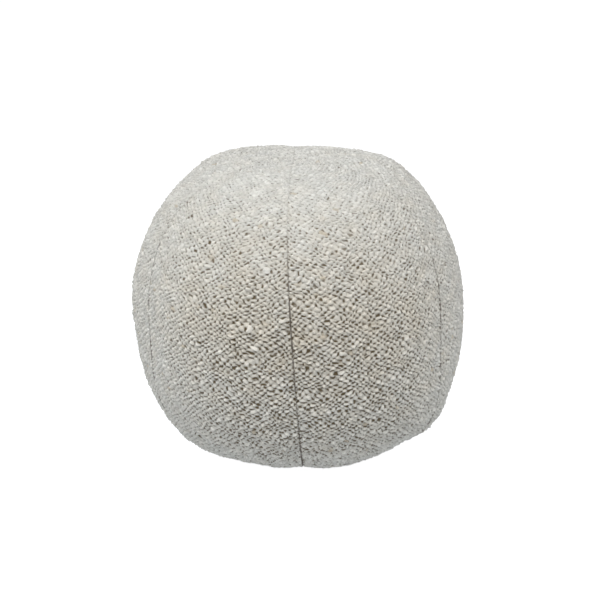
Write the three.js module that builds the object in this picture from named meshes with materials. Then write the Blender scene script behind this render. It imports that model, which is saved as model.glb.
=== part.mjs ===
// Ball pillow: six gore panels sewn together from pole to pole and filled until firm.
// It stands on the flat spot that its own weight presses into the bottom.
// Millimetres, +Z up, the front towards -Y and +X to its right.
// The origin is on the surface it rests on, straight below the middle of the girth.

import * as THREE from 'three';
import { mergeVertices } from 'three/addons/utils/BufferGeometryUtils.js';

// Driving dimensions of the filled form
const GIRTH_RADIUS = 130; // half the width across the gores at the widest level
const CROWN_HEIGHT = 124.5; // girth to the top pole, before the seams draw it in
const LOWER_REACH = 113; // girth to the bottom pole, before the weight flattens it
const FLAT_SPOT_LIFT = 3; // how much of that the surface underneath presses flat
const UPPER_FULLNESS = 2.5; // exponent of the profile: 2 is an ellipse, more is squarer
const LOWER_FULLNESS = 2.5;
const LEAN = 0.033; // shift of the axis towards -X for each millimetre of height

// The sewn lines
const VALLEY_DEPTH = 1.8; // soft dip of the filling along a seam
const VALLEY_REACH = 16;
const CREASE_DEPTH = 1.8; // sharp fold where the two panels turn in to the stitches
const CREASE_REACH = 3;
const DIMPLE_DEPTH = 2.5; // the top pole, where all the seams pull together
const DIMPLE_REACH = 30;
const CROWN_FADE = 2; // how soon the seams flatten out up the crown, as a power of the level's cosine
const PRESSED_RADIUS = 60; // nearer the bottom pole than this the weight flattens the seams

// The levels at which the fullness is given, in degrees above the girth on the profile
const LEVELS = { shoulder: 58, flank: 28, girth: 0, hip: -28, foot: -52 };
const LEVEL_SPREAD = 20;

// One row for each seam, going round from the front to the right.
// Bearing is from the front at the girth, and drift is the further turn at the top pole, in degrees.
// A level is named where the seam stands out as a blunt corner, or lies flatter, in millimetres.
const SEAMS = [
  { bearing: -1.5, drift: -2.1 },
  { bearing: 58.8, drift: 1.2, girth: -3.0, hip: 3.0 },
  { bearing: 119.4, drift: 1.2, shoulder: 3.0, flank: 1.5 },
  { bearing: 178.7, drift: 0.4 },
  { bearing: 239.2, drift: 0.9, shoulder: 3.0, flank: -2.0 },
  { bearing: 295.5, drift: -0.2, girth: -3.0, hip: 1.5, foot: 3.0 },
];

// One row for each gore, from its seam in the table above to the next one.
// Each number is how far the filling pushes the middle of the panel out, in millimetres;
// the cover eases from one middle to the next.
const GORES = [
  { side: 'front right', shoulder: 1.0, flank: -0.5, girth: -2.0, hip: -0.5, foot: -2.0 },
  { side: 'right', shoulder: 4.0, flank: -2.0, girth: -1.5, hip: -3.5, foot: 0.5 },
  { side: 'back right', shoulder: 1.5, flank: -0.5, girth: -0.5, hip: -1.0, foot: 0.5 },
  { side: 'back left', shoulder: 2.5, flank: -1.5, girth: 0.0, hip: -1.0, foot: 1.0 },
  { side: 'left', shoulder: -1.0, flank: -4.0, girth: 0.0, hip: -3.5, foot: 5.0 },
  { side: 'front left', shoulder: 0.0, flank: -1.0, girth: -1.5, hip: -1.0, foot: -1.5 },
];

// Faces across one gore and from pole to pole
const GORE_COLUMNS = 12;
const ROWS = 48;

const COVER_FINISH = { color: 0xd9d6ca, roughness: 0.95, metalness: 0 };

const { PI } = Math;
const radians = THREE.MathUtils.degToRad;

/** A soft hump of height 1 at 0 that has died away by about twice its reach. */
function hump(distance, reach) {
  return Math.exp(-((distance / reach) ** 2));
}

/** Radius and height, from the middle of the girth, of the plain profile at a level in radians. */
function profile(level) {
  const upper = level >= 0;
  const power = 2 / (upper ? UPPER_FULLNESS : LOWER_FULLNESS);
  const reach = upper ? CROWN_HEIGHT : LOWER_REACH;
  const rise = Math.abs(Math.sin(level)) ** power;
  return {
    radius: GIRTH_RADIUS * Math.max(Math.cos(level), 0) ** power,
    height: upper ? reach * rise : -reach * rise,
  };
}

/** Bearing of a seam at a level, in radians; the seventh seam is the first one again. */
function seamBearing(index, level) {
  const { bearing, drift } = SEAMS[index % SEAMS.length];
  const turns = Math.floor(index / SEAMS.length);
  return radians(bearing + drift * Math.sin(level)) + turns * 2 * PI;
}

/** Fullness at a level, from the row of a table; the rows' numbers go on round. */
function fullness(table, index, level) {
  const row = table[(index + table.length) % table.length];
  let swell = 0;
  for (const [name, degrees] of Object.entries(LEVELS)) {
    swell += (row[name] ?? 0) * hump(level - radians(degrees), radians(LEVEL_SPREAD));
  }
  return swell;
}

/** How far the filling pushes the cover out, at a level and a fraction of the way across a gore. */
function coverSwell(goreIndex, level, across) {
  const firstHalf = across < 0.5;
  const own = fullness(GORES, goreIndex, level);
  const beside = fullness(GORES, goreIndex + (firstHalf ? -1 : 1), level);
  const corner = fullness(SEAMS, goreIndex + (firstHalf ? 0 : 1), level);
  const atSeam = (own + beside) / 2 + corner;
  const share = (1 - Math.cos(2 * PI * Math.abs(across - 0.5))) / 2;
  return own + (atSeam - own) * share;
}

/** How far the stitches draw the cloth in at a distance from the seam. */
function seamDrop(distance, radius, level) {
  const pressed = Math.min(1, radius / PRESSED_RADIUS) ** 2;
  const drawn = level < 0 ? pressed : Math.max(Math.cos(level), 0) ** CROWN_FADE;
  const dimple = level > 0 ? DIMPLE_DEPTH * hump(radius, DIMPLE_REACH) : 0;
  const valley = VALLEY_DEPTH * hump(distance, VALLEY_REACH);
  const crease = CREASE_DEPTH * hump(distance, CREASE_REACH);
  return drawn * (valley + crease) + dimple;
}

/** A point of the cover, at a fraction across one gore and a level from pole to pole. */
function coverPoint(goreIndex, across, level) {
  const { radius, height } = profile(level);
  const start = seamBearing(goreIndex, level);
  const width = seamBearing(goreIndex + 1, level) - start;
  const bearing = start + width * across;
  const distance = radius * width * Math.min(across, 1 - across);
  const push = coverSwell(goreIndex, level, across) - seamDrop(distance, radius, level);
  const r = Math.max(radius + push * Math.cos(level), 0);
  const z = Math.max(height + push * Math.sin(level), FLAT_SPOT_LIFT - LOWER_REACH);
  return new THREE.Vector3(
    r * Math.sin(bearing) - LEAN * z,
    -r * Math.cos(bearing),
    z - FLAT_SPOT_LIFT + LOWER_REACH,
  );
}

/** The closed cover: a sphere's grid of faces, with its columns gathered towards the seams. */
function coverGeometry() {
  const geometry = new THREE.SphereGeometry(1, SEAMS.length * GORE_COLUMNS, ROWS);
  const { position, uv } = geometry.attributes;
  for (let i = 0; i < position.count; i += 1) {
    const level = PI * (uv.getY(i) - 0.5);
    const atPole = Math.abs(position.getY(i)) === 1;
    const round = atPole ? 0 : (uv.getX(i) % 1) * SEAMS.length;
    const column = Math.round((round % 1) * GORE_COLUMNS) / GORE_COLUMNS;
    const gore = Math.floor(round + 0.5 / GORE_COLUMNS) % SEAMS.length;
    const across = (1 - Math.cos(PI * (column % 1))) / 2;
    const point = coverPoint(gore, across, level);
    position.setXYZ(i, point.x, point.y, point.z);
  }
  geometry.deleteAttribute('normal');
  geometry.deleteAttribute('uv');
  const closed = mergeVertices(geometry);
  closed.computeVertexNormals();
  return closed;
}

const cover = new THREE.Mesh(coverGeometry(), new THREE.MeshStandardMaterial(COVER_FINISH));
cover.name = 'filled_cover';

const ballPillow = new THREE.Group();
ballPillow.add(cover);

export default ballPillow;
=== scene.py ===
"""Ball pillow: six gore panels of nubbly cream cloth, sewn from pole to pole round a firm filling.

The cover is made the way its maker makes it. The filling's form is blown up by cloth simulation
between the seams. Each panel is cut flat to a lens outline with the warp along its middle, laid over
the form, turned in at its edges, and its yarns stand up as loops, row by row.
Metres, +Z up, the front towards -Y and +X to its right.
"""

from __future__ import annotations

import logging
import math
from dataclasses import dataclass, field
from enum import Enum

import bmesh
import bpy
import numpy as np
from bmesh.types import BMesh, BMVert
from bpy.types import Material, Mesh, Node, NodeSocket, NodeTree, Object
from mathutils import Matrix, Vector
from mathutils.bvhtree import BVHTree

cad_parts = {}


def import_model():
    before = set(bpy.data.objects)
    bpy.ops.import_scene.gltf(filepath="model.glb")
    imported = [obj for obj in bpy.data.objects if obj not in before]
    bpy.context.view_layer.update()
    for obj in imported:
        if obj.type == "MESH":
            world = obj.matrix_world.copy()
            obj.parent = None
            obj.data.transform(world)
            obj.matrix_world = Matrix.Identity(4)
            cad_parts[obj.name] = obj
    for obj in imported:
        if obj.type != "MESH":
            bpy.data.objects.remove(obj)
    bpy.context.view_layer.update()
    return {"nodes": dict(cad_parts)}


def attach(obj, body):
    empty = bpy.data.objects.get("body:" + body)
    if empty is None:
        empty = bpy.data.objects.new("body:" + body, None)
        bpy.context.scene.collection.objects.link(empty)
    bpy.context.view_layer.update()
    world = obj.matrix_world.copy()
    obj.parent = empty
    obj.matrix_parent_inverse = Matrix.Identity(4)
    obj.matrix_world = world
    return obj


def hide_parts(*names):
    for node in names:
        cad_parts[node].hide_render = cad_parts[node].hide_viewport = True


LOG = logging.getLogger("ball_pillow")

Array = np.ndarray
Colour = tuple[float, float, float]
Pair = tuple[float, float]

MM = 0.001
SOLID = "filled_cover"
GIRTH_LEVEL = 110 * MM  # floor to the widest level
MIDDLE = Vector((0.0, 0.0, GIRTH_LEVEL))  # of the girth
LEAN = 0.033  # shift of the axis towards -X for each metre of height
FIRST_SEED = 100  # of the first panel's loops; the others follow on
WHITE = (1.0, 1.0, 1.0, 1.0)


@dataclass(frozen=True)
class Seam:
    """A sewn line from pole to pole.

    Attributes:
        bearing: Degrees from the front, towards the right, at the girth.
        drift: Further turn at the top pole, in degrees.
    """

    bearing: float
    drift: float

    def at(self, level: Array) -> Array:
        """Bearings in radians at levels in radians above the girth."""
        return np.radians(self.bearing + self.drift * np.sin(level))


SEAMS = (
    Seam(bearing=-1.5, drift=-2.1),
    Seam(bearing=58.8, drift=1.2),
    Seam(bearing=119.4, drift=1.2),
    Seam(bearing=178.7, drift=0.4),
    Seam(bearing=239.2, drift=0.9),
    Seam(bearing=295.5, drift=-0.2),
)


class Gore(Enum):
    """The six panels; each lies between the seam of its number and the next one round."""

    FRONT_RIGHT = 0
    RIGHT = 1
    BACK_RIGHT = 2
    BACK_LEFT = 3
    LEFT = 4
    FRONT_LEFT = 5

    def edges(self, level: Array) -> tuple[Array, Array]:
        """Find the panel's two seams.

        Args:
            level: Radians above the girth.

        Returns:
            Bearings of its first and second seam there, in radians.
        """
        following = self.value + 1
        lap = 2 * math.pi * (following // len(SEAMS))
        return SEAMS[self.value].at(level), SEAMS[following % len(SEAMS)].at(level) + lap


def ease(values: Array, low: float, high: float) -> Array:
    """Smooth step from 0 at low to 1 at high."""
    share = np.clip((values - low) / (high - low), 0.0, 1.0)
    return share * share * (3.0 - 2.0 * share)


def turn_from(bearing: Array, other: Array | float) -> Array:
    """Turns from another bearing to these, the short way round, in radians."""
    return np.angle(np.exp(1j * (bearing - other)))


def read_rows(items: bpy.types.bpy_prop_collection, name: str) -> Array:
    """Read a place or a direction of each item.

    Args:
        items: A mesh's vertices or their normals.
        name: What to read of each.

    Returns:
        Rows of x, y, z.
    """
    rows = np.empty(len(items) * 3, np.float32)
    items.foreach_get(name, rows)
    return rows.reshape(-1, 3).astype(float)


def read_points(mesh: Mesh) -> Array:
    """Vertex places of a mesh as rows of x, y, z."""
    return read_rows(mesh.vertices, "co")


def read_normals(mesh: Mesh) -> Array:
    """Vertex normals of a mesh as rows of x, y, z."""
    return read_rows(mesh.vertex_normals, "vector")


def write_points(mesh: Mesh, places: Array) -> None:
    """Move a mesh's vertices to rows of x, y, z."""
    mesh.vertices.foreach_set("co", places.astype(np.float32).ravel())
    mesh.update()


@dataclass(frozen=True)
class Lump:
    """A place where the filling has gathered, or has thinned out.

    Attributes:
        bearing: Degrees from the front, towards the right.
        level: Degrees above the girth.
        rise: How far the cover stands out there, or lies in where it is negative.
        reach: How soon the lump dies away, in degrees.
    """

    bearing: float
    level: float
    rise: float
    reach: float = 10.0

    def push(self, bearing: Array, level: Array) -> Array:
        """Work out how far the lump pushes the cover out.

        Args:
            bearing: Radians from the front, towards the right.
            level: Radians above the girth.

        Returns:
            Distances, negative where it lies in.
        """
        turn = turn_from(bearing, math.radians(self.bearing)) * np.cos(level)
        away = np.hypot(turn, level - math.radians(self.level)) / math.radians(self.reach)
        return self.rise * np.exp(-(away**2))


# Going round from the front to the right
LUMPS = (
    Lump(bearing=44, level=-45, rise=-3.5 * MM),
    Lump(bearing=65, level=-35, rise=3.5 * MM),
    Lump(bearing=112, level=53, rise=2.5 * MM),
    Lump(bearing=237, level=61, rise=2.2 * MM),
    Lump(bearing=274, level=12, rise=1.5 * MM),
    Lump(bearing=285, level=-19, rise=1.5 * MM),
    Lump(bearing=295, level=-36, rise=1.5 * MM),
    Lump(bearing=334, level=-50, rise=-3.5 * MM),
)


@dataclass
class FilledForm:
    """The filling's form: the solid, slackened and blown up again between its seams.

    Attributes:
        voxel: Face size of the simulated skin.
        slack: How much smaller than the solid the skin starts at the girth, where the panels are widest.
        pressure: Push of the filling from inside.
        mass: Weight of the skin at each of its points, in kilograms.
        stiffness: How hard the skin resists being stretched, pressed together or sheared.
        frames: Length of the simulation.
        cap: Furthest that a point may swell.
        held: Distances from a seam between which the stitches let the skin go.
        pressed: Heights above the floor between which the weight lets it go.
        least_hold: Hold, from 0 to 1, up to which a point counts as free.
        weld: Distance within which the solid's loose corners are merged.
        tree: The finished form, for measuring how far out it lies.
    """

    voxel: float = 5 * MM
    slack: float = 2.0 * MM
    pressure: float = 12.0
    mass: float = 0.0015
    stiffness: float = 0.15
    frames: int = 20
    cap: float = 5 * MM
    held: Pair = (5 * MM, 10 * MM)
    pressed: Pair = (3 * MM, 9 * MM)
    least_hold: float = 0.01
    weld: float = 0.01 * MM
    tree: BVHTree = field(init=False)

    def build(self, solid: Object) -> None:
        """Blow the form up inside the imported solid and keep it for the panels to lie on.

        Args:
            solid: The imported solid, which is copied and left as it is.
        """
        skin = bpy.data.objects.new("filling_form", solid.data.copy())
        bpy.context.scene.collection.objects.link(skin)
        self._weld(skin.data)
        self._apply(skin, "REMESH", mode="VOXEL", voxel_size=self.voxel)
        held = self._slacken(skin)
        self._swell(skin, held)
        self._apply(skin, "SUBSURF", levels=1, render_levels=1)
        faces = [tuple(face.vertices) for face in skin.data.polygons]
        self.tree = BVHTree.FromPolygons([tuple(point) for point in read_points(skin.data)], faces)
        LOG.info("filling form: %d faces", len(faces))
        mesh = skin.data
        bpy.data.objects.remove(skin)
        bpy.data.meshes.remove(mesh)

    def _weld(self, mesh: Mesh) -> None:
        """Merge the loose triangles of a copied solid.

        Args:
            mesh: The copy.
        """
        shell = bmesh.new()
        shell.from_mesh(mesh)
        bmesh.ops.remove_doubles(shell, verts=shell.verts, dist=self.weld)
        shell.to_mesh(mesh)
        shell.free()

    def _apply(self, skin: Object, kind: str, **settings: object) -> None:
        """Add a modifier and make its result the skin's own mesh.

        Args:
            skin: The skin.
            kind: Kind of modifier.
            **settings: Its settings.
        """
        modifier = skin.modifiers.new(kind.lower(), kind)
        for name, value in settings.items():
            setattr(modifier, name, value)
        graph = bpy.context.evaluated_depsgraph_get()
        shaped = bpy.data.meshes.new_from_object(skin.evaluated_get(graph))
        skin.modifiers.remove(modifier)
        before = skin.data
        skin.data = shaped
        bpy.data.meshes.remove(before)

    def _slacken(self, skin: Object) -> Array:
        """Lump the skin, and draw it in where nothing holds it.

        Args:
            skin: The remeshed skin.

        Returns:
            For each vertex 1 where stitches or the floor hold it, down to 0 where it is free.
        """
        places = read_points(skin.data)
        rise = places[:, 2] - GIRTH_LEVEL
        outward = places[:, 0] + LEAN * rise
        radius = np.hypot(outward, places[:, 1])
        level = np.arctan2(rise, radius)
        bearing = np.arctan2(outward, -places[:, 1])
        nearest = np.full(len(places), np.inf)
        for seam in SEAMS:
            nearest = np.minimum(nearest, np.abs(turn_from(bearing, seam.at(level))) * radius)
        sewn = 1.0 - ease(nearest, *self.held)
        floor = 1.0 - ease(places[:, 2], *self.pressed)
        held = np.maximum(sewn, floor)
        wide = (radius / radius.max()) ** 2
        push = sum(lump.push(bearing, level) for lump in LUMPS) - self.slack * wide * (1.0 - held)
        places += read_normals(skin.data) * push[:, None]
        write_points(skin.data, places)
        return held

    def _swell(self, skin: Object, held: Array) -> None:
        """Run the cloth simulation and keep its result, with no point past the cap.

        Args:
            skin: The slackened skin.
            held: How far each vertex is held, from 0 to 1.
        """
        start = read_points(skin.data)
        group = skin.vertex_groups.new(name="held")
        for index in np.nonzero(held > self.least_hold)[0]:
            group.add([int(index)], float(held[index]), "REPLACE")
        cloth = skin.modifiers.new("filling", "CLOTH")
        cloth.settings.vertex_group_mass = group.name
        cloth.settings.mass = self.mass
        for strain in ("tension", "compression", "shear"):
            setattr(cloth.settings, f"{strain}_stiffness", self.stiffness)
        cloth.settings.use_pressure = True
        cloth.settings.uniform_pressure_force = self.pressure
        cloth.settings.effector_weights.gravity = 0.0
        cloth.collision_settings.use_collision = False
        cloth.point_cache.frame_start = 1
        cloth.point_cache.frame_end = self.frames
        scene = bpy.context.scene
        for step in range(1, self.frames + 1):
            scene.frame_set(step)
        graph = bpy.context.evaluated_depsgraph_get()
        swollen = read_points(skin.evaluated_get(graph).data)
        skin.modifiers.remove(cloth)
        scene.frame_set(1)
        move = swollen - start
        length = np.linalg.norm(move, axis=1)
        move *= np.minimum(1.0, self.cap / np.maximum(length, 1e-9))[:, None]
        write_points(skin.data, start + move)
        LOG.info("filling form: swelled %.1f mm, %.1f mm at most", length.mean() / MM, length.max() / MM)

    def directions(self, bearing: Array, level: Array) -> Array:
        """Unit directions from the middle of the girth, along the leaning axis.

        Args:
            bearing: Radians from the front, towards the right.
            level: Radians above the girth.

        Returns:
            Rows of x, y, z.
        """
        flat = np.cos(level)
        rows = np.stack(
            [flat * np.sin(bearing) - LEAN * np.sin(level), -flat * np.cos(bearing), np.sin(level)], axis=1
        )
        return rows / np.linalg.norm(rows, axis=1, keepdims=True)

    def reach(self, directions: Array) -> Array:
        """Distances from the middle of the girth to the form along unit directions."""
        return np.array([self.tree.ray_cast(MIDDLE, Vector(way))[3] for way in directions])


@dataclass
class GorePattern:
    """The flat pattern of the panels: rows up the middle line, each as wide as the form is there.

    Attributes:
        column: Face width across a panel.
        row: Face height up a panel.
        levels: Levels at which the form is measured, in radians.
        radii: Mean radius of the form there.
        runs: Length up the middle line from the bottom pole to there.
    """

    column: float
    row: float
    levels: Array = field(init=False)
    radii: Array = field(init=False)
    runs: Array = field(init=False)

    def measure(self, form: FilledForm, steps: int = 721, turns: int = 36) -> None:
        """Measure the form's mean profile.

        Args:
            form: The filled form.
            steps: Levels to measure from pole to pole.
            turns: Bearings to average round each level.
        """
        self.levels = np.linspace(-math.pi / 2, math.pi / 2, steps)
        reach = np.zeros(steps)
        for bearing in np.linspace(0.0, 2 * math.pi, turns, endpoint=False):
            reach += form.reach(form.directions(np.full(steps, bearing), self.levels)) / turns
        self.radii = np.maximum(reach * np.cos(self.levels), 0.0)
        rises = reach * np.sin(self.levels)
        lengths = np.hypot(np.diff(self.radii), np.diff(rises))
        self.runs = np.concatenate([[0.0], np.cumsum(lengths)])

    @property
    def length(self) -> float:
        """Length of a panel from pole to pole."""
        return float(self.runs[-1])

    def level_at(self, run: Array) -> Array:
        """Levels in radians at lengths up the middle line."""
        return np.interp(run, self.runs, self.levels)

    def radius_at(self, run: Array) -> Array:
        """Mean radius of the form at lengths up the middle line."""
        return np.interp(run, self.runs, self.radii)

    def half_width(self, gore: Gore, run: Array) -> Array:
        """Half the width of a panel at lengths up its middle line."""
        start, end = gore.edges(self.level_at(run))
        return self.radius_at(run) * (end - start) / 2


@dataclass(frozen=True)
class LoopField:
    """How the loops of one panel differ, by warp end and weft row.

    Attributes:
        rise: Height of each loop, as a share of the usual one.
        size: Length and width of each loop, as a share of the usual ones.
        tilt: Turn of each loop, in radians.
        stray: How far the yarns stray along and across the rows, in pitches.
        middle: Warp end and weft row numbers of the weave's own origin.
    """

    rise: Array
    size: Array
    tilt: Array
    stray: Array
    middle: tuple[int, int]


@dataclass(frozen=True)
class Weave:
    """A plain weave of thick uneven yarn, whose weft stands up in a loop over every second warp end.

    Attributes:
        warp_pitch: Distance between warp ends.
        weft_pitch: Distance between weft rows.
        faces: Faces of a panel to a warp pitch and to a weft pitch.
        margin: Ends and rows drawn past the edges of a panel.
        loop_height: Height of a loop above the gaps beside it.
        loop_length: Half the length of a loop along its row, in warp pitches.
        loop_width: Half its width, in weft pitches.
        loop_rise: The lowest and highest loops, as shares of that height.
        loop_size: The smallest and largest, as shares of that length and width.
        patchiness: How much higher loops stand where the yarn runs thick.
        stray: How far a yarn strays from its place at one crossing, in pitches.
        wander: How far it strays over a few crossings, in pitches.
        tilt: Spread of the loops' turn, in degrees.
        slub_share: Share of loops that are thick slubs.
        slub_rise: Height of a slub, as a share.
        slub_size: Length and width of a slub, as a share.
        sunk_share: Share of loops pulled flat.
        sunk_rise: Height of a loop pulled flat, as a share.
    """

    warp_pitch: float = 2.65 * MM
    weft_pitch: float = 2.04 * MM
    faces: Pair = (3.0, 3.5)
    margin: int = 8
    loop_height: float = 2.1 * MM
    loop_length: float = 0.68
    loop_width: float = 0.70
    loop_rise: Pair = (0.5, 1.15)
    loop_size: Pair = (0.6, 0.9)
    patchiness: float = 0.18
    stray: float = 0.45
    wander: float = 0.7
    tilt: float = 28.0
    slub_share: float = 0.006
    slub_rise: float = 1.2
    slub_size: float = 1.15
    sunk_share: float = 0.08
    sunk_rise: float = 0.3

    def scatter(self, half_width: float, length: float, seed: int) -> LoopField:
        """Draw how the loops of one panel differ.

        Args:
            half_width: Half the widest width of the panel.
            length: Length of the panel.
            seed: Seed of the draw.

        Returns:
            The panel's loops.
        """
        ends = math.ceil(half_width / self.warp_pitch) + self.margin
        count = (2 * ends + 1, math.ceil(length / self.weft_pitch) + 2 * self.margin)
        draw = np.random.default_rng(seed)
        patch = self._patches(draw, count)
        slub = draw.random(count) < self.slub_share
        sunk = draw.random(count) < self.sunk_share
        wander = np.stack([self._patches(draw, count), self._patches(draw, count)])
        rise = draw.uniform(*self.loop_rise, count) * (1.0 + self.patchiness * patch)
        return LoopField(
            rise=np.where(slub, self.slub_rise, np.where(sunk, self.sunk_rise, rise)),
            size=np.where(slub, self.slub_size, draw.uniform(*self.loop_size, count)),
            tilt=draw.normal(0.0, math.radians(self.tilt), count),
            stray=draw.uniform(-self.stray, self.stray, (2, *count)) + self.wander * wander,
            middle=(ends, self.margin),
        )

    def _patches(self, draw: np.random.Generator, count: tuple[int, int], passes: int = 3) -> Array:
        """Draw soft patches, a few loops across, where the yarn runs thick or thin.

        Args:
            draw: The panel's random draw.
            count: Warp ends and weft rows.
            passes: How often the patches are softened.

        Returns:
            A number for each crossing, about -1 to 1.
        """
        patch = draw.standard_normal(count)
        for axis in (0, 1):
            for _ in range(passes):
                patch = (np.roll(patch, 1, axis) + patch + np.roll(patch, -1, axis)) / 3
        return patch / (2.0 * patch.std())

    def trace(self, across: Array, along: Array, loops: LoopField) -> Array:
        """Count warp ends and weft rows at points of the flat panel, with the yarns' stray.

        Args:
            across: Distances from the panel's middle line.
            along: Distances up the panel.
            loops: The panel's loops.

        Returns:
            Two rows, of warp ends and of weft rows, whole numbers where a yarn's middle lies.
        """
        counts = np.stack([across / self.warp_pitch, along / self.weft_pitch])
        below = np.floor(counts).astype(int)
        share = ease(counts - below, 0.0, 1.0)
        strayed = counts.copy()
        for side in (0, 1):
            for end in (0, 1):
                weight = np.abs(1 - side - share[0]) * np.abs(1 - end - share[1])
                site = (below[0] + side + loops.middle[0], below[1] + end + loops.middle[1])
                strayed += weight * loops.stray[:, site[0], site[1]]
        return strayed

    def relief(self, counts: Array, loops: LoopField) -> Array:
        """Work out the cloth's relief.

        Args:
            counts: Warp ends and weft rows, from the trace.
            loops: The panel's loops.

        Returns:
            Heights above the gaps, as shares of a usual loop's height.
        """
        first = np.rint((counts[0] + counts[1]) / 2).astype(int)
        second = np.rint((counts[0] - counts[1]) / 2).astype(int)
        height = np.zeros_like(counts[0])
        near = range(-2, 3)  # loops that can reach a point, counted slantwise from its own
        for step in near:
            for climb in near:
                end = first + step + second + climb
                row = first + step - second - climb
                site = (end + loops.middle[0], row + loops.middle[1])
                slide, lift = counts[0] - end, counts[1] - row
                cos, sin = np.cos(loops.tilt[site]), np.sin(loops.tilt[site])
                length = (slide * cos + lift * sin) / (self.loop_length * loops.size[site])
                width = (lift * cos - slide * sin) / (self.loop_width * loops.size[site])
                dome = loops.rise[site] * np.sqrt(np.maximum(1.0 - length**2 - width**2, 0.0))
                height = np.maximum(height, dome)
        return height


@dataclass
class ShaderNodes:
    """The nodes of a material, and the few ways in which they are joined.

    Attributes:
        tree: The material's node tree, which starts empty.
    """

    tree: NodeTree

    def __post_init__(self) -> None:
        """Clear the nodes that a new material comes with."""
        self.tree.nodes.clear()

    def add(self, kind: str, inputs: dict[str | int, object], **settings: str) -> Node:
        """Add a node.

        Args:
            kind: Kind of node.
            inputs: What goes into it; a socket is linked, and any other value is set.
            **settings: Its settings.

        Returns:
            The node.
        """
        node = self.tree.nodes.new(kind)
        for name, value in settings.items():
            setattr(node, name, value)
        for name, value in inputs.items():
            if isinstance(value, NodeSocket):
                self.tree.links.new(value, node.inputs[name])
            else:
                node.inputs[name].default_value = value
        return node

    def noise(self, place: NodeSocket, grain: Pair) -> Node:
        """Soft noise, with so many lumps to a unit and so much finer detail."""
        inputs = {"Vector": place, "Scale": grain[0], "Detail": grain[1]}
        return self.add("ShaderNodeTexNoise", inputs, noise_dimensions="2D")

    def span(self, value: NodeSocket, low: float, high: float) -> NodeSocket:
        """A value eased from 0 at low to 1 at high."""
        inputs = {"Value": value, "From Min": low, "From Max": high}
        return self.add("ShaderNodeMapRange", inputs, interpolation_type="SMOOTHSTEP").outputs["Result"]

    def number(self, operation: str, *parts: NodeSocket | float) -> NodeSocket:
        """The result of one operation on numbers."""
        return self.add("ShaderNodeMath", dict(enumerate(parts)), operation=operation).outputs["Value"]

    def vector(self, operation: str, *parts: NodeSocket | tuple[float, float, float]) -> NodeSocket:
        """The result of one operation on vectors."""
        return self.add("ShaderNodeVectorMath", dict(enumerate(parts)), operation=operation).outputs["Vector"]

    def add_up(self, *terms: tuple[NodeSocket, float]) -> NodeSocket:
        """Add some values up.

        Args:
            *terms: The values, each with its factor.

        Returns:
            The sum.
        """
        total = 0.0
        for value, factor in terms:
            total = self.number("MULTIPLY_ADD", value, factor, total)
        return total

    def blend(self, first: NodeSocket | Colour, second: NodeSocket | Colour, share: NodeSocket) -> NodeSocket:
        """Mix two colours, each a plain colour or a socket.

        Args:
            first: The colour where the share is 0.
            second: The colour where it is 1.
            share: The second colour's share.

        Returns:
            The mixed colour.
        """
        lower, upper = ((*part, 1.0) if isinstance(part, tuple) else part for part in (first, second))
        # A mix of colours has its share at input 0, the colours at 6 and 7, and the mix at output 2
        return self.add("ShaderNodeMix", {0: share, 6: lower, 7: upper}, data_type="RGBA").outputs[2]


@dataclass(frozen=True)
class Recipe:
    """A weighted sum of the cloth's values, and the span over which it takes effect.

    Attributes:
        weights: Names of the values, each with its weight.
        span: Sums at which the effect starts and at which it is full.
    """

    weights: tuple[tuple[str, float], ...]
    span: Pair

    def effect(self, nodes: ShaderNodes, values: dict[str, NodeSocket]) -> NodeSocket:
        """How far the recipe takes effect, from 0 to 1."""
        total = nodes.add_up(*((values[name], weight) for name, weight in self.weights))
        return nodes.span(total, *self.span)


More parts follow.
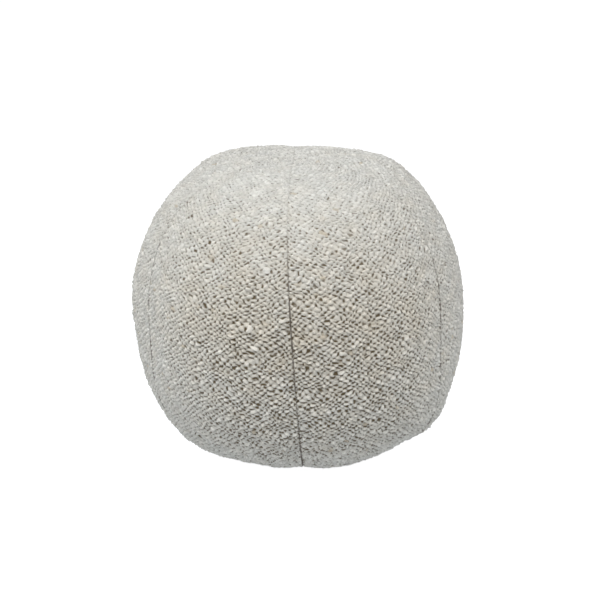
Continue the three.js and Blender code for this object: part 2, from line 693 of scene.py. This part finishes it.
@dataclass(frozen=True)
class ClothFinish:
    """The cream nubbly cloth: pale matt yarn with painted shade in the gaps between its loops, a painted
    highlight on their crests and painted warm light round the front, with a little fibre sheen.

    Attributes:
        cream: Colour of the lightest yarn, also the painted highlight on the loops' crests.
        grey: Colour of the darkest yarn, also the painted shade on the loops' low flanks.
        straw: Warm colour mixed into the yarn, in random dapples and as painted warm light round the front.
        beige: Colour of the flecks.
        painted_gap_shade: Colour of the painted shade deep between the yarns.
        painted_seam_shade: Colour of the painted shade down in a seam.
        roughness: Roughness of the yarn.
        specular: Strength of its plain shine.
        sheen: Weight of the fibres' sheen.
        sheen_roughness: Roughness of that sheen.
        fleck_share: Share of loops with a beige fleck.
        fibre_grain: Lumps to a pitch, and detail, of the fibres' noise.
        patch_grain: The same for the patches where the yarn runs thick or thin.
        dapple_grain: The same for the patches where its tone is warmer.
        sway_grain: The same for the sway of the pattern.
        sway: How far the pattern sways within a loop, in pitches.
        tone_and_crest_light: What makes the yarn lighter: random tone by loop, patch and fibre, and a painted
            highlight on the loops' crests by their height.
        dapple_and_warm_light: What makes it warmer: random dapples, and painted warm light round the front.
        gap_shade_recipe: What darkens it to the painted gap shade: painted shade between the loops and down
            their low flanks, stronger round the front and in some gaps at random.
        pebble_checks: How far the loops stand up in the fine relief.
        pebble_fibre: How far the fibres do.
        pebble_strength: Strength of that relief.
        pebble_height: Height of it.
    """

    cream: Colour = (0.93, 0.93, 0.893)
    grey: Colour = (0.63, 0.628, 0.597)
    straw: Colour = (0.72, 0.56, 0.34)
    beige: Colour = (0.62, 0.56, 0.46)
    painted_gap_shade: Colour = (0.13, 0.10, 0.058)
    painted_seam_shade: Colour = (0.09, 0.065, 0.04)
    roughness: float = 0.95
    specular: float = 0.15
    sheen: float = 0.2
    sheen_roughness: float = 0.5
    fleck_share: float = 0.015
    fibre_grain: Pair = (1.7, 3.0)
    patch_grain: Pair = (0.3, 2.0)
    dapple_grain: Pair = (0.15, 2.0)
    sway_grain: Pair = (1.1, 1.0)
    sway: float = 0.8
    # Random tone, with a painted highlight on the loops' crests by their height
    tone_and_crest_light: Recipe = Recipe(
        weights=(("loop", 0.35), ("patch", 0.6), ("fibre", 1.0), ("loft", 0.4)),
        span=(0.65, 1.75),
    )
    # Random dapples, with painted warm light round the front
    dapple_and_warm_light: Recipe = Recipe(weights=(("painted_warm_light", 0.32), ("dapple", 0.4)), span=(0.03, 1.53))
    # Painted shade in the gaps between the loops, deeper where they stand low
    gap_shade_recipe: Recipe = Recipe(
        weights=(
            ("checks", -1.0),
            ("fibre", 1.1),
            ("hole", 0.35),
            ("loft", -1.0),
            ("relief_and_gap_shade", 0.75),
            ("patch", -1.0),
        ),
        span=(0.65, 1.83),
    )
    pebble_checks: float = 0.35
    pebble_fibre: float = 0.9
    pebble_strength: float = 0.8
    pebble_height: float = 0.9 * MM

    def material(self) -> Material:
        """Make the cloth's material.

        Returns:
            A material that reads a panel's weave coordinates and its attributes.
        """
        cloth = bpy.data.materials.new("nubbly_cream_cloth")
        cloth.use_nodes = True
        cloth.diffuse_color = (*self.cream, 1.0)
        nodes = ShaderNodes(cloth.node_tree)
        values = self._values(nodes)
        fleck = nodes.span(values["dye"], 1.0 - self.fleck_share, 1.0)
        # Lighter at random, and with a painted highlight on the loops' crests
        yarn = nodes.blend(self.grey, self.cream, self.tone_and_crest_light.effect(nodes, values))
        # Warmer in random dapples, and with painted warm light round the front
        warm = nodes.blend(yarn, self.straw, self.dapple_and_warm_light.effect(nodes, values))
        flecked = nodes.blend(warm, self.beige, fleck)
        # Painted shade in the gaps between the loops
        gap_shaded_yarn = nodes.blend(flecked, self.painted_gap_shade, self.gap_shade_recipe.effect(nodes, values))
        # Painted shade down in the seams, fading towards the crown
        sewn = nodes.blend(gap_shaded_yarn, self.painted_seam_shade, values["seam"])
        pebble = nodes.add_up((values["checks"], self.pebble_checks), (values["fibre"], self.pebble_fibre))
        relief = {"Strength": self.pebble_strength, "Distance": self.pebble_height, "Height": pebble}
        dressing = {
            "Base Color": sewn,
            "Normal": nodes.add("ShaderNodeBump", relief).outputs["Normal"],
            "Roughness": self.roughness,
            "Specular IOR Level": self.specular,
            "Sheen Weight": self.sheen,
            "Sheen Roughness": self.sheen_roughness,
        }
        shader = nodes.add("ShaderNodeBsdfPrincipled", dressing)
        nodes.add("ShaderNodeOutputMaterial", {"Surface": shader.outputs["BSDF"]})
        return cloth

    def _values(self, nodes: ShaderNodes) -> dict[str, NodeSocket]:
        """Make the values that the recipes name.

        Args:
            nodes: The material's nodes.

        Returns:
            A socket for each value, by its name.
        """
        counts = self._counts(nodes)
        loop, dye = self._draw(nodes, counts, shift=0.0)
        hole, _ = self._draw(nodes, counts, shift=0.5)
        values = {
            "checks": self._checks(nodes, counts),
            "fibre": nodes.noise(counts, self.fibre_grain).outputs["Fac"],
            "patch": nodes.noise(counts, self.patch_grain).outputs["Fac"],
            "dapple": nodes.noise(counts, self.dapple_grain).outputs["Fac"],
            "loop": loop,
            "dye": dye,
            "hole": hole,
        }
        for name in ("loft", "relief_and_gap_shade", "painted_warm_light", "seam"):
            values[name] = nodes.add("ShaderNodeAttribute", {}, attribute_name=name).outputs["Fac"]
        return values

    def _counts(self, nodes: ShaderNodes) -> NodeSocket:
        """Read the panel's UV map, a little uneven within each loop.

        Args:
            nodes: The material's nodes.

        Returns:
            Warp ends and weft rows.
        """
        weave = nodes.add("ShaderNodeUVMap", {}, uv_map="weave").outputs["UV"]
        drift = nodes.noise(weave, self.sway_grain).outputs["Color"]
        centred = nodes.vector("SUBTRACT", drift, (0.5, 0.5, 0.5))
        return nodes.vector("MULTIPLY_ADD", centred, (self.sway, self.sway, 0.0), weave)

    def _checks(self, nodes: ShaderNodes, counts: NodeSocket) -> NodeSocket:
        """Make a soft checkerboard.

        Args:
            nodes: The material's nodes.
            counts: Warp ends and weft rows.

        Returns:
            1 at the middle of each loop, down to -1 in each gap.
        """
        turns = nodes.vector("MULTIPLY", counts, (math.pi, math.pi, math.pi))
        waves = nodes.vector("COSINE", turns)
        parts = nodes.add("ShaderNodeSeparateXYZ", {"Vector": waves}).outputs
        return nodes.number("MULTIPLY", parts["X"], parts["Y"])

    def _draw(self, nodes: ShaderNodes, counts: NodeSocket, shift: float) -> tuple[NodeSocket, NodeSocket]:
        """Draw two numbers for each loop or gap by its place in the weave.

        Args:
            nodes: The material's nodes.
            counts: Warp ends and weft rows.
            shift: 0 for the loops and 0.5 for the gaps.

        Returns:
            Two numbers from 0 to 1.
        """
        parts = nodes.add("ShaderNodeSeparateXYZ", {"Vector": counts}).outputs
        place = {}
        for axis, sign in (("X", 0.5), ("Y", -0.5)):
            half = nodes.add_up((parts["X"], 0.5), (parts["Y"], sign))
            place[axis] = nodes.number("ROUND", nodes.number("ADD", half, shift))
        site = nodes.add("ShaderNodeCombineXYZ", place).outputs["Vector"]
        draw = nodes.add("ShaderNodeTexWhiteNoise", {"Vector": site}, noise_dimensions="2D").outputs["Color"]
        channels = nodes.add("ShaderNodeSeparateColor", {"Color": draw}).outputs
        return channels["Red"], channels["Green"]


@dataclass(frozen=True)
class SewnEdge:
    """How the cloth lies and shows along a seam.

    Attributes:
        turn_reach: Width of the rounded turn at a seam.
        turn_depth: How far the turn goes in.
        allowance: Width of the seam allowance inside.
        pinch: Width of the strip in which the loops are pinched down to the form.
        even: Height that the loops even out to at a seam, as a share of a usual loop's.
        even_reach: Width of the strip in which they even out.
        pucker: Height of the little gathers along a seam.
        pucker_pitch: Distance between gathers.
        pucker_reach: How soon the gathers die away from a seam.
        pucker_drift: How far gathers fall out of step, in radians, and how soon, in radians a metre.
        open_pitch: Distances over which the painted shade of a seam standing open comes and goes, short and
            long.
        open_share: How strong that painted shade is, and how much that varies.
        open_drift: How far it falls out of step, in radians.
        open_shift: How far each seam's painted shade is out of step with the last one's, in radians.
        shade: Width of the strip on each panel that the painted seam shade covers.
        fade: Levels between which a seam closes up towards the crown, in radians.
        faint: How much of a seam still shows on the crown.
    """

    turn_reach: float = 1.0 * MM
    turn_depth: float = 1.3 * MM
    allowance: float = 5 * MM
    pinch: float = 0.6 * MM
    even: float = 0.55
    even_reach: float = 1.2 * MM
    pucker: float = 0.3 * MM
    pucker_pitch: float = 12 * MM
    pucker_reach: float = 6 * MM
    pucker_drift: Pair = (9.0, 31.0)
    open_pitch: Pair = (19 * MM, 67 * MM)
    open_share: Pair = (0.72, 0.28)
    open_drift: float = 5.0
    open_shift: float = 2.1
    shade: float = 1.05 * MM
    fade: Pair = (math.radians(15), math.radians(64))
    faint: float = 0.12

    def closed(self, level: Array) -> Array:
        """How far a seam has closed up, from 0 to 1, at levels in radians."""
        return (1.0 - self.faint) * ease(level, *self.fade)

    def loops(self, loft: Array, spare: Array) -> Array:
        """Heights of the loops, evened out near a seam, at distances from it."""
        return self.even + (loft - self.even) * ease(spare, 0.0, self.even_reach)

    def gathers(self, along: Array, spare: Array, gore: Gore) -> Array:
        """Work out the gathers beside a seam.

        Args:
            along: Distances up the panel.
            spare: Distances from the seam.
            gore: Which of the panels it is.

        Returns:
            How far the cloth stands out, or in where it is negative.
        """
        swing, pace = self.pucker_drift
        drift = swing * np.sin(pace * along + gore.value)
        wave = np.sin(2 * math.pi * along / self.pucker_pitch + drift)
        return self.pucker * wave * np.exp(-spare / self.pucker_reach)

    def drop(self, spare: Array) -> Array:
        """How far the rounded turn has gone in at distances from the seam."""
        turned = np.clip(1.0 - spare / self.turn_reach, 0.0, 1.0)
        return self.turn_depth * (1.0 - np.sqrt(1.0 - turned**2))

    def opening(self, along: Array, seam: Array) -> Array:
        """Work out how strong the painted shade of seams standing open is, which is the same for both panels
        of a seam.

        Args:
            along: Distances up the panel.
            seam: Numbers of the seams.

        Returns:
            Shares, up to 1 where the painted seam shade is strongest.
        """
        usual, sway = self.open_share
        short, long = self.open_pitch
        drift = self.open_drift * np.sin(2 * math.pi * along / long + seam)
        return usual + sway * np.sin(2 * math.pi * along / short + drift + self.open_shift * seam)


@dataclass(frozen=True)
class SettledCloth:
    """How the cloth lies over the settled filling: its loops stand higher round the front, where its gaps
    also get more painted shade and the yarn painted warm light.

    Attributes:
        settled: Levels in degrees, and how high the loops stand and how much painted shade their gaps get
            there.
        warm: Levels in degrees, and how much painted warm light the yarn gets there.
        face: Bearing round which the loops stand highest and the painted gap shade and painted warm light are
            strongest, in radians.
        aside: Turns away from it between which these die down, in radians.
        closes: How much of the loops' extra height and painted gap shade is gone at the sides and the back.
        cools: How much of the painted warm light is gone there.
        closed_rise: Height of the loops where the weave is closed, as a share of the open weave's.
        pressed: Heights above the floor between which the loops, pressed flat, come to stand up.
        pressed_share: How much of their height the loops keep at the floor.
        flat_rise: How far the cloth stands above the form where the loops are pressed flat.
        sink: How far the ground of the cloth lies under the form.
    """

    settled: tuple[Pair, ...] = ((-45.0, 1.1), (10.0, 1.0), (45.0, 0.4), (60.0, 0.0))
    warm: tuple[Pair, ...] = ((-40.0, 0.0), (-15.0, 0.5), (15.0, 1.0), (45.0, 0.45), (65.0, 0.0))
    face: float = math.radians(5)
    aside: Pair = (math.radians(18), math.radians(75))
    closes: float = 0.85
    cools: float = 0.7
    closed_rise: float = 0.6
    pressed: Pair = (4 * MM, 40 * MM)
    pressed_share: float = 0.4
    flat_rise: float = 0.2 * MM
    sink: float = 1.3 * MM

    def relief_and_gap_shade(self, bearing: Array, level: Array) -> Array:
        """How high the loops stand and how much painted shade their gaps get, at bearings and levels in
        radians.
        """
        usual = np.interp(np.degrees(level), *zip(*self.settled))
        return usual * (1.0 - self.closes * self._turned(bearing, level))

    def painted_warm_light(self, bearing: Array, level: Array) -> Array:
        """How much painted warm light the yarn gets, at bearings and levels in radians."""
        usual = np.interp(np.degrees(level), *zip(*self.warm))
        return usual * (1.0 - self.cools * self._turned(bearing, level))

    def _turned(self, bearing: Array, level: Array) -> Array:
        """How far the cloth is turned away from its open side, from 0 to 1."""
        turn = np.abs(turn_from(bearing, self.face)) * np.cos(np.maximum(level, 0.0))
        return ease(turn, *self.aside)

    def rise(self, loops: Array, relief_and_gap_shade: Array, height: Array) -> Array:
        """Work out how far the cloth stands above the form.

        Args:
            loops: Heights of the loops in the open weave.
            relief_and_gap_shade: How high the loops stand, by the value that also gives the painted gap
                shade.
            height: Heights above the floor.

        Returns:
            Distances, negative in the gaps between the loops.
        """
        standing = loops * (self.closed_rise + (1.0 - self.closed_rise) * relief_and_gap_shade) - self.sink
        kept = self.pressed_share + (1.0 - self.pressed_share) * ease(height, *self.pressed)
        return self.flat_rise + (standing - self.flat_rise) * kept


@dataclass
class GorePanel:
    """One panel of the cover, cut flat, laid on the form and sewn in at its edges.

    Attributes:
        gore: Which of the six panels it is.
        sewing: How it lies and shows along its seams.
        lie: How it lies over the filling.
        fill: How tight the panel is filled, 1 for drum-tight; not used.
        weld: Distance within which points of the cut outline are merged.
        ends_apart: Warp ends between one panel's count and the next one's.
    """

    gore: Gore
    sewing: SewnEdge = SewnEdge()
    lie: SettledCloth = SettledCloth()
    fill: float = 0.85
    weld: float = 0.002 * MM
    ends_apart: float = 200.0

    @property
    def name(self) -> str:
        """Name of the finished piece."""
        return f"gore_{self.gore.name.lower()}"

    def build(self, form: FilledForm, pattern: GorePattern, weave: Weave, cloth: Material) -> None:
        """Args:
            form: The form that it lies on.
            pattern: The flat pattern.
            weave: The cloth's weave.
            cloth: The cloth's material.
        """
        mesh = self._cut(pattern)
        self._lay(mesh, form, pattern, weave)
        self._turn_in(mesh)
        mesh.polygons.foreach_set("use_smooth", np.ones(len(mesh.polygons), bool))
        mesh.materials.append(cloth)
        piece = bpy.data.objects.new(self.name, mesh)
        bpy.context.scene.collection.objects.link(piece)
        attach(piece, "root")
        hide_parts(SOLID)
        LOG.info("%s: %d faces", self.name, len(mesh.polygons))

    def _cut(self, pattern: GorePattern) -> Mesh:
        """Cut a length of cloth to the panel's lens outline.

        Args:
            pattern: The flat pattern.

        Returns:
            The flat panel, x across from its middle line and y up from the bottom pole.
        """
        rough = 1.5 * pattern.column  # how far past the outline the rough cut keeps points
        snap = 0.5 * pattern.column  # how near inside the outline points are moved onto it
        rows = round(pattern.length / pattern.row)
        widest = pattern.half_width(self.gore, pattern.runs).max()
        columns = 2 * math.ceil(widest / pattern.column)
        panel = bmesh.new()
        bmesh.ops.create_grid(panel, x_segments=columns, y_segments=rows, size=1.0)
        bmesh.ops.translate(panel, verts=panel.verts, vec=(0.0, 1.0, 0.0))
        size = (columns * pattern.column / 2, pattern.length / 2, 1.0)
        bmesh.ops.scale(panel, verts=panel.verts, vec=size)
        spare = self._spare(panel, pattern)
        offcut = [point for point, distance in spare.items() if distance < -rough]
        bmesh.ops.delete(panel, geom=offcut, context="VERTS")
        for point, distance in self._spare(panel, pattern).items():
            if distance < snap and point.co.x:
                point.co.x += math.copysign(1.0, point.co.x) * distance
        bmesh.ops.remove_doubles(panel, verts=panel.verts, dist=self.weld)
        self._refine_edge(panel, pattern)
        mesh = bpy.data.meshes.new(self.name)
        panel.to_mesh(mesh)
        panel.free()
        return mesh

    def _spare(self, panel: BMesh, pattern: GorePattern) -> dict[BMVert, float]:
        """How far inside the outline each point of the flat panel lies, negative for outside."""
        limit = pattern.half_width(self.gore, np.array([point.co.y for point in panel.verts]))
        return {point: half - abs(point.co.x) for point, half in zip(panel.verts, limit)}

    def _refine_edge(self, panel: BMesh, pattern: GorePattern, cuts: int = 2) -> None:
        """Split the faces next to the outline, so that the turn at the seam comes out round.

        Args:
            panel: The flat panel.
            pattern: The flat pattern.
            cuts: Cuts across each face.
        """
        slant = 0.3 * pattern.column  # an edge that comes this much nearer the outline runs across
        spare = self._spare(panel, pattern)
        across = []
        for edge in panel.edges:
            first, last = (spare[point] for point in edge.verts)
            if min(first, last) < self.sewing.turn_reach and abs(first - last) > slant:
                across.append(edge)
        bmesh.ops.subdivide_edges(panel, edges=across, cuts=cuts, use_grid_fill=True)

    def _lay(self, mesh: Mesh, form: FilledForm, pattern: GorePattern, weave: Weave) -> None:
        """Lay the flat panel on the form, raise its loops and round its edges in.

        Args:
            mesh: The panel, still flat.
            form: The form that it lies on.
            pattern: The flat pattern.
            weave: The cloth's weave.
        """
        across, along, _ = read_points(mesh).T
        level = pattern.level_at(along)
        start, end = self.gore.edges(level)
        half = pattern.half_width(self.gore, along)
        share = np.divide(across, half, out=np.zeros_like(across), where=half > 1e-7)
        bearing = (start + end) / 2 + share * (end - start) / 2
        outward = form.directions(bearing, level)
        base = np.array([0.0, 0.0, GIRTH_LEVEL]) + outward * form.reach(outward)[:, None]
        write_points(mesh, base)
        normals = read_normals(mesh)

        loops = weave.scatter(half.max(), pattern.length, seed=FIRST_SEED + self.gore.value)
        counts = weave.trace(across, along, loops)
        loft = weave.relief(counts, loops)
        spare = half - np.abs(across)
        # How high the loops stand, and how much painted shade their gaps get, most round the front
        relief_and_gap_shade = self.lie.relief_and_gap_shade(bearing, level)
        closed = self.sewing.closed(level)
        rise = self.lie.rise(weave.loop_height * self.sewing.loops(loft, spare), relief_and_gap_shade, base[:, 2])
        rise += self.sewing.gathers(along, spare, self.gore) * (1.0 - closed)
        free = closed + (1.0 - closed) * ease(spare, 0.0, self.sewing.pinch)
        drop = self.sewing.drop(spare) * (1.0 - closed)
        placed = base + normals * (free * rise)[:, None] - outward * drop[:, None]
        placed[:, 2] = np.maximum(placed[:, 2], 0.0)
        write_points(mesh, placed)

        self._keep_weave(mesh, counts)
        # Loop heights, which the material also reads for a painted highlight on the crests and painted shade
        # in the gaps
        self._record(mesh, "loft", loft)
        # How high the loops stand, which the material also reads for painted gap shade
        self._record(mesh, "relief_and_gap_shade", relief_and_gap_shade)
        # Painted warm light, strongest round the front and fading towards the top, sides and bottom
        self._record(mesh, "painted_warm_light", self.lie.painted_warm_light(bearing, level))
        # Painted shade down in the seams, by how far each stands open, fading towards the crown
        seam = (self.gore.value + (across > 0)) % len(SEAMS)
        shown = self.sewing.opening(along, seam) * (1.0 - closed)
        self._record(mesh, "seam", shown * (1.0 - ease(spare, 0.0, self.sewing.shade)))

    def _keep_weave(self, mesh: Mesh, counts: Array) -> None:
        """Keep the warp ends and weft rows as the panel's UV map, apart from the other panels' ends.

        Args:
            mesh: The panel.
            counts: Warp ends and weft rows, from the trace.
        """
        layer = mesh.uv_layers.new(name="weave")
        corners = np.empty(len(mesh.loops), np.int32)
        mesh.loops.foreach_get("vertex_index", corners)
        apart = np.array([self.ends_apart * self.gore.value, 0.0])
        layer.data.foreach_set("uv", (counts.T[corners] + apart).astype(np.float32).ravel())

    def _record(self, mesh: Mesh, name: str, values: Array) -> None:
        """Keep a value for each vertex as an attribute that the material reads."""
        layer = mesh.attributes.new(name, "FLOAT", "POINT")
        layer.data.foreach_set("value", values.astype(np.float32))

    def _turn_in(self, mesh: Mesh) -> None:
        """Turn the seam allowance in from the panel's edge.

        Args:
            mesh: The panel.
        """
        panel = bmesh.new()
        panel.from_mesh(mesh)
        rim = [edge for edge in panel.edges if edge.is_boundary]
        for edge in rim:
            edge.smooth = False
        turned = bmesh.ops.extrude_edge_only(panel, edges=rim)["geom"]
        for point in turned:
            if isinstance(point, BMVert):
                point.co += (MIDDLE - point.co).normalized() * self.sewing.allowance
        panel.to_mesh(mesh)
        panel.free()


@dataclass(frozen=True)
class Lamp:
    """A round soft lamp that shines at the pillow.

    Attributes:
        name: Name of the lamp.
        place: Where it hangs, in metres.
        size: Its diameter.
        watts: Its power.
    """

    name: str
    place: tuple[float, float, float]
    size: float
    watts: float

    def hang(self) -> None:
        """Put the lamp in the scene."""
        light = bpy.data.lights.new(self.name, "AREA")
        light.shape = "DISK"
        light.size = self.size
        light.energy = self.watts
        lamp = bpy.data.objects.new(self.name, light)
        lamp.location = self.place
        aim = MIDDLE - lamp.location
        lamp.rotation_euler = aim.to_track_quat("-Z", "Y").to_euler()
        bpy.context.scene.collection.objects.link(lamp)


LAMPS = (
    Lamp("high_front", place=(0.0, -0.7, 1.3), size=0.4, watts=4.0),
    Lamp("high_left", place=(-0.8, -0.3, 1.2), size=1.4, watts=9.2),
    Lamp("high_right", place=(0.8, -0.3, 1.2), size=1.4, watts=6.0),
    Lamp("left", place=(-1.3, -0.2, 0.4), size=1.4, watts=2.2),
    Lamp("right", place=(1.3, -0.2, 0.4), size=1.4, watts=2.5),
    Lamp("low_front", place=(0.0, -1.4, 0.25), size=0.6, watts=3.5),
)


@dataclass
class Studio:
    """A pale floor, soft light from above and both sides, and the camera.

    Attributes:
        distance: Camera to the middle of the girth.
        elevation: Camera's height above level, in degrees.
        lens: Focal length, in millimetres.
        sensor: Width of the camera's sensor, in millimetres.
        aim_right: How far right of the middle of the girth the camera looks.
        aim_up: How far above it, square to the view.
        floor_size: Width of the floor.
        floor_colour: Colour of the floor.
        floor_lift: How much lighter than its shade the floor is shown.
        sky: Strength of the light from all round.
    """

    distance: float = 1.040
    elevation: float = 21.0
    lens: float = 80.0
    sensor: float = 36.0
    aim_right: float = 0.8 * MM
    aim_up: float = 9.4 * MM
    floor_size: float = 24.0
    floor_colour: Colour = (0.66, 0.685, 0.71)
    floor_lift: float = 0.93
    sky: float = 0.12

    def build(self) -> None:
        """Set the floor, the lights and the camera."""
        self._floor()
        self._lights()
        self._camera()
        bpy.context.scene.view_settings.view_transform = "Standard"

    def _floor(self) -> None:
        """Lay the plain pale floor."""
        sheet = bmesh.new()
        bmesh.ops.create_grid(sheet, x_segments=1, y_segments=1, size=self.floor_size / 2)
        mesh = bpy.data.meshes.new("floor")
        sheet.to_mesh(mesh)
        sheet.free()
        floor = bpy.data.objects.new("floor", mesh)
        bpy.context.scene.collection.objects.link(floor)
        paint = bpy.data.materials.new("pale_floor")
        paint.use_nodes = True
        nodes = ShaderNodes(paint.node_tree)
        seen = nodes.add("ShaderNodeLightPath", {}).outputs["Is Camera Ray"]
        coat = {
            "Base Color": (*self.floor_colour, 1.0),
            "Roughness": 1.0,
            "Emission Color": WHITE,
            "Emission Strength": nodes.add_up((seen, self.floor_lift)),
        }
        shader = nodes.add("ShaderNodeBsdfPrincipled", coat)
        nodes.add("ShaderNodeOutputMaterial", {"Surface": shader.outputs["BSDF"]})
        mesh.materials.append(paint)

    def _lights(self) -> None:
        """Hang the lamps, and light the rest evenly from all round."""
        for lamp in LAMPS:
            lamp.hang()
        world = bpy.data.worlds.new("studio")
        world.use_nodes = True
        background = world.node_tree.nodes["Background"]
        background.inputs["Color"].default_value = WHITE
        background.inputs["Strength"].default_value = self.sky
        bpy.context.scene.world = world

    def _camera(self) -> None:
        """Stand the camera in front, a little above the pillow."""
        tilt = math.radians(self.elevation)
        lens = bpy.data.cameras.new("camera")
        lens.lens = self.lens
        lens.sensor_width = self.sensor
        camera = bpy.data.objects.new("camera", lens)
        up = Vector((0.0, math.sin(tilt), math.cos(tilt)))
        back = Vector((0.0, -math.cos(tilt), math.sin(tilt)))
        aim = MIDDLE + Vector((self.aim_right, 0.0, 0.0)) + up * self.aim_up
        camera.location = MIDDLE + back * self.distance
        camera.rotation_euler = (aim - camera.location).to_track_quat("-Z", "Y").to_euler()
        bpy.context.scene.collection.objects.link(camera)
        bpy.context.scene.camera = camera


def main() -> None:
    """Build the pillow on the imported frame, and the studio round it."""
    logging.basicConfig(level=logging.INFO, format="%(name)s: %(message)s")
    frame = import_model()
    Studio().build()
    form = FilledForm()
    form.build(frame["nodes"][SOLID])
    weave = Weave()
    columns, rows = weave.faces
    pattern = GorePattern(column=weave.warp_pitch / columns, row=weave.weft_pitch / rows)
    pattern.measure(form)
    LOG.info("panels: %.0f mm from pole to pole", pattern.length / MM)
    cloth = ClothFinish().material()
    for gore in Gore:
        GorePanel(gore).build(form, pattern, weave, cloth)


if __name__ == "__main__":
    main()
